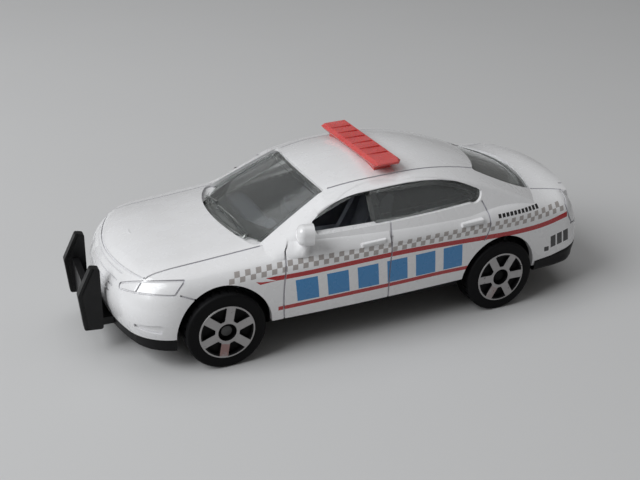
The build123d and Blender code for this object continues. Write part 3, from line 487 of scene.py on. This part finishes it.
def wheel_plastic(name, spoke_angle, worn_angle, wear):
    """Black moulding with a silver print on the spokes, rim and hub ring, and one worn spoke."""
    low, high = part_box(name)
    centre = [(a + b) / 2 / MM for a, b in zip(low, high)]
    outer_face = max(abs(low[1]), abs(high[1])) / MM
    nodes = Nodes(name.replace("_", " "))
    x, y, z = nodes.axes()
    across = nodes.math("SUBTRACT", x, centre[0])
    up = nodes.math("SUBTRACT", z, centre[2])
    radius = nodes.math("SQRT", nodes.math("ADD", nodes.both(across, across), nodes.both(up, up)))
    face = nodes.math("GREATER_THAN", nodes.math("ABSOLUTE", y), outer_face - FACE_DEPTH)

    # The pockets' outer corners stay black
    angle = nodes.math("SUBTRACT", nodes.math("ARCTAN2", up, across), radians(spoke_angle - SPOKE_STEP / 2))
    turn = nodes.math("FLOORED_MODULO", angle, radians(SPOKE_STEP))
    off_spoke = nodes.math("SINE", nodes.math("SUBTRACT", turn, radians(SPOKE_STEP / 2)))
    aside = nodes.math("ABSOLUTE", nodes.both(radius, off_spoke))
    beside = nodes.math("GREATER_THAN", aside, POCKET_ASIDE)
    pocket = nodes.both(beside, nodes.between(radius, *POCKET_RADII))
    printed = nodes.both(face, nodes.between(radius, *PRINT_RADII), nodes.math("SUBTRACT", 1.0, pocket))
    chips = nodes.math("GREATER_THAN", nodes.noise(1.6, 5.0, 0.7), CHIP_LEVEL)
    colour = nodes.mix(nodes.both(printed, chips), BLACK, SILVER)

    # The worn spoke
    worn = radians(worn_angle)
    depth = nodes.math("MULTIPLY_ADD", across, cos(worn), nodes.math("MULTIPLY", up, sin(worn)))
    offset = nodes.math("MULTIPLY_ADD", across, -sin(worn), nodes.math("MULTIPLY", up, cos(worn)))
    spoke = nodes.both(nodes.between(depth, *WORN_RADII), nodes.between(offset, -WORN_HALF, WORN_HALF))
    patch = nodes.both(printed, spoke, nodes.spread(nodes.noise(0.9, 4.0, 0.7), 0.2, 1.0, 0.35, 0.5))
    colour = nodes.mix(nodes.math("MULTIPLY", patch, wear), colour, WORN)

    nodes.link(colour, nodes.shader.inputs["Base Color"])
    nodes.link(nodes.spread(nodes.noise(1.2), 0.45, 0.6), nodes.shader.inputs["Roughness"])
    nodes.link(nodes.math("MULTIPLY", printed, 0.55), nodes.shader.inputs["Metallic"])
    nodes.shader.inputs["Specular IOR Level"].default_value = 0.08
    nodes.bump(nodes.noise(2.4, 2.0), 0.15, 0.03 * MM)
    return nodes.material


def dress(node, material):
    """Gives a CAD node its finish."""
    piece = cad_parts[node]
    for slot in piece.material_slots:
        slot.material = material


def add_materials():
    """Finishes of all CAD nodes; gives back the enamel and the base's black for the skins."""
    enamel = white_paint()
    base_black = plastic("base moulding", BLACK, WORN_BASE, 0.42, gloss=0.14)
    finishes = {
        "body_shell": enamel,
        "glazing": clear_plastic(),
        "light_bar": red_plastic(),
        "interior": plastic("grey moulding", SEAT_GREY, WORN_SEAT, 0.42),
        "steering_wheel": plastic("dark moulding", DARK_GREY, WORN_DARK, 0.5),
        "base": base_black,
        "push_bar": plastic("black moulding", BLACK, WORN_BLACK, 0.38, gloss=0.3),
        "front_axle": bare_metal("steel wire", WIRE, 0.5),
        # Painted shade: the rear axle gets a darker copy of the steel wire
        "rear_axle": bare_metal("rear steel wire", SHADED_WIRE, 0.55),
        "front_rivet": bare_metal("cast rivet", ZINC, 0.4),
        "rear_rivet": bare_metal("rear cast rivet", ZINC, 0.4),
    }
    for name, marks in WHEELS.items():
        finishes[name] = wheel_plastic(name, *marks)
    for node, material in finishes.items():
        dress(node, material)
    return enamel, base_black


def cast_tree():
    """Ray lookup on the cast body's outside, in millimetres."""
    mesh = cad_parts["body_shell"].data
    return BVHTree.FromPolygons([v.co / MM for v in mesh.vertices], [p.vertices for p in mesh.polygons])


def surface(tree, aim, away):
    """The body's outermost point on the line through aim, on the side that away points to."""
    return tree.ray_cast(aim + away * FAR, -away)[0]


def side_reach(tree, x, z):
    """How far the body's left side reaches at x and z, in millimetres."""
    return surface(tree, Vector((x, 0, z)), Vector((0, 1, 0))).y


def rounded(a, corner, b):
    """A line from a to b past a softly rounded corner, as a list of points."""
    near, far = corner.lerp(a, CORNER_CUT), corner.lerp(b, CORNER_CUT)
    arc = []
    for i in range(CORNER_STEPS + 1):
        t = i / CORNER_STEPS
        arc.append(near.lerp(corner, t).lerp(corner.lerp(far, t), t))
    return [a, a.lerp(near, 0.5)] + arc + [far.lerp(b, 0.5), b]


def skin(name, rows, material):
    """A smooth sheet through rows of points in millimetres, on the left side and mirrored on the right."""
    mesh = bpy.data.meshes.new(name)
    width = len(rows[0])
    points, faces = [], []
    for mirrored in (1, -1):
        start = len(points)
        points += [Vector((p.x, p.y * mirrored, p.z)) * MM for row in rows for p in row]
        for i in range(len(rows) - 1):
            for j in range(width - 1):
                corner = start + i * width + j
                face = (corner, corner + 1, corner + width + 1, corner + width)
                faces.append(face if mirrored == 1 else face[::-1])
    mesh.from_pydata(points, [], faces)
    mesh.shade_smooth()
    mesh.materials.append(material)
    piece = bpy.data.objects.new(name, mesh)
    bpy.context.scene.collection.objects.link(piece)
    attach(piece, "car")


def between_points(value, table):
    """Straight-line reading of a table of pairs, in rising order."""
    for (x0, y0), (x1, y1) in zip(table, table[1:]):
        if value <= x1:
            return y0 + (y1 - y0) * (value - x0) / (x1 - x0)
    return table[-1][1]


def roof_point(start, y):
    """A point of the roof's falling edge, further out than its start."""
    out = y - start.y
    return Vector((start.x, y, start.z - ROOF_FALL * out - ROOF_ROUNDING * out * out))


def add_cantrail(tree, enamel):
    """The roof's side edge over the door windows, down to the top of the openings."""
    rows = []
    for i in range(RAIL_STEPS + 1):
        x = RAIL_REAR + (RAIL_FRONT - RAIL_REAR) * i / RAIL_STEPS
        aim = Vector((x, between_points(x, ROOF_EDGE), 0))
        start = surface(tree, aim, Vector((0, 0, 1))) + RAIL_ABOVE
        flank = between_points(x, FLANK)
        edge = between_points(x, WINDOW_EDGE)
        # Where roof and side would meet in a sharp corner, found by tries that settle
        y = CORNER_FIRST_Y
        for _ in range(CORNER_TRIES):
            y = flank - FLANK_SLOPE * (roof_point(start, y).z - FLANK_Z)
        foot = Vector((x, flank - FLANK_SLOPE * (edge - FLANK_Z), edge))
        rows.append([foot - RAIL_FOLD] + rounded(foot, roof_point(start, y), start - RAIL_INNER_DROP))
    skin("cantrail", rows, enamel)


def along_edge(edge, t):
    """The point at share t of a line through points of x and z."""
    place = t * (len(edge) - 1)
    i = min(int(place), len(edge) - 2)
    (x0, z0), (x1, z1) = edge[i], edge[i + 1]
    return Vector((x0 + (x1 - x0) * (place - i), z0 + (z1 - z0) * (place - i)))


def add_shoulder(tree, enamel, name, edges, fullness):
    """A fillet along the belt between its rear and front edge."""
    rear_edge, front_edge = edges
    shares = [j / SHOULDER_ROWS for j in range(SHOULDER_ROWS + 1)]
    rows = []
    for i in range(SHOULDER_STEPS + 1):
        line = [along_edge(rear_edge, t).lerp(along_edge(front_edge, t), i / SHOULDER_STEPS) for t in shares]
        low, high = side_reach(tree, *line[0]), side_reach(tree, *line[-1])
        row = []
        for j, (x, z) in enumerate(line):
            s = (z - line[0].y) / (line[-1].y - line[0].y)
            bulge = fullness * s * (1 - s) * (1 - UPPER_THINNING * s)
            proud = SHOULDER_PROUD if 0 < j < SHOULDER_ROWS else -SHOULDER_TUCK
            row.append(Vector((x, low + (high - low) * s + bulge + proud, z)))
        rows.append(row)
    skin(name, rows, enamel)


def tail_reach(tree, away, z):
    """The body's outermost point at height z, looking away from the valance's front end."""
    return surface(tree, Vector((VALANCE_FRONT, 0, z)), away).xy.to_3d()


def add_valance(tree, base_black):
    """The black moulding that rises on the body behind the rear wheels and round the tail."""
    rows = []
    for i in range(VALANCE_STEPS + 1):
        turn = radians(90 + 90 * i / VALANCE_STEPS)
        away = Vector((cos(turn), sin(turn), 0))
        x = tail_reach(tree, away, VALANCE_MIDDLE_Z).x
        top = between_points(x, VALANCE_TOP)
        foot = between_points(x, VALANCE_FOOT)
        row = []
        for j in range(VALANCE_ROWS + 1):
            z = top + (foot + VALANCE_LIP - top) * j / VALANCE_ROWS
            out = VALANCE_PROUD if j else -VALANCE_TUCK
            row.append(tail_reach(tree, away, max(z, BODY_FOOT_Z)) + away * out + Vector((0, 0, z)))
        under = tail_reach(tree, away, BODY_FOOT_Z)
        row += [under + away * out + Vector((0, 0, foot + up)) for out, up in VALANCE_HEM]
        rows.append(row)
    skin("rear_valance", rows, base_black)


def add_camera():
    """The camera at the photograph's angle; roll turns it about its own line of sight."""
    yaw, pitch, roll = radians(CAMERA_YAW), radians(CAMERA_PITCH), radians(CAMERA_ROLL)
    back = Vector((sin(yaw) * cos(pitch), cos(yaw) * cos(pitch), sin(pitch)))
    right = Vector((0, 0, 1)).cross(back).normalized()
    up = back.cross(right)
    right, up = cos(roll) * right + sin(roll) * up, cos(roll) * up - sin(roll) * right
    camera = bpy.data.cameras.new("camera")
    camera.sensor_width = SENSOR_WIDTH
    camera.lens = FOCAL_PIXELS / IMAGE_WIDTH * SENSOR_WIDTH
    camera.clip_start = CLIP_START
    holder = bpy.data.objects.new("camera", camera)
    bpy.context.scene.collection.objects.link(holder)
    place = Matrix((right, up, back)).transposed().to_4x4()
    place.translation = CAMERA_TARGET + back * CAMERA_DISTANCE
    holder.matrix_world = place
    bpy.context.scene.camera = holder


def add_floor():
    """A plain pale floor under the wheels."""
    mesh = bpy.data.meshes.new("floor")
    corners = [(FLOOR_REACH * a, FLOOR_REACH * b, 0) for a, b in ((-1, -1), (1, -1), (1, 1), (-1, 1))]
    mesh.from_pydata(corners, [], [(0, 1, 2, 3)])
    floor = bpy.data.objects.new("floor", mesh)
    bpy.context.scene.collection.objects.link(floor)
    nodes = Nodes("pale floor")
    shade = nodes.spread(nodes.noise(0.02, 2.0), 0.0, 0.2)
    nodes.link(nodes.mix(shade, PALE_FLOOR, SHADED_FLOOR), nodes.shader.inputs["Base Color"])
    nodes.shader.inputs["Roughness"].default_value = 0.75
    mesh.materials.append(nodes.material)


def add_light(name, azimuth, elevation, distance, size, power):
    """A square soft light that looks at the toy."""
    lamp = bpy.data.lights.new(name, "AREA")
    lamp.size = size
    lamp.energy = power
    lamp.color = LIGHT_COLOUR
    holder = bpy.data.objects.new(name, lamp)
    bpy.context.scene.collection.objects.link(holder)
    a, e = radians(azimuth), radians(elevation)
    away = Vector((cos(a) * cos(e), sin(a) * cos(e), sin(e)))
    holder.location = away * distance
    holder.rotation_euler = away.to_track_quat("Z", "Y").to_euler()


def add_lights():
    """A window in front, a weaker light from above, and an even room."""
    add_light("window", *WINDOW_LIGHT)
    add_light("sky", *SKY_LIGHT)
    world = bpy.data.worlds.new("room")
    world.use_nodes = True
    background = world.node_tree.nodes["Background"]
    background.inputs["Color"].default_value = ROOM_COLOUR
    background.inputs["Strength"].default_value = ROOM_STRENGTH
    bpy.context.scene.world = world


enamel, base_black = add_materials()
tree = cast_tree()
add_cantrail(tree, enamel)
add_shoulder(tree, enamel, "wing_shoulder", WING_EDGES, WING_FULLNESS)
add_shoulder(tree, enamel, "front_door_shoulder", FRONT_DOOR_EDGES, DOOR_FULLNESS)
add_shoulder(tree, enamel, "rear_door_shoulder", REAR_DOOR_EDGES, DOOR_FULLNESS)
add_valance(tree, base_black)
add_camera()
add_floor()
add_lights()
bpy.context.scene.view_settings.view_transform = "Standard"

bpy.context.view_layer.update()
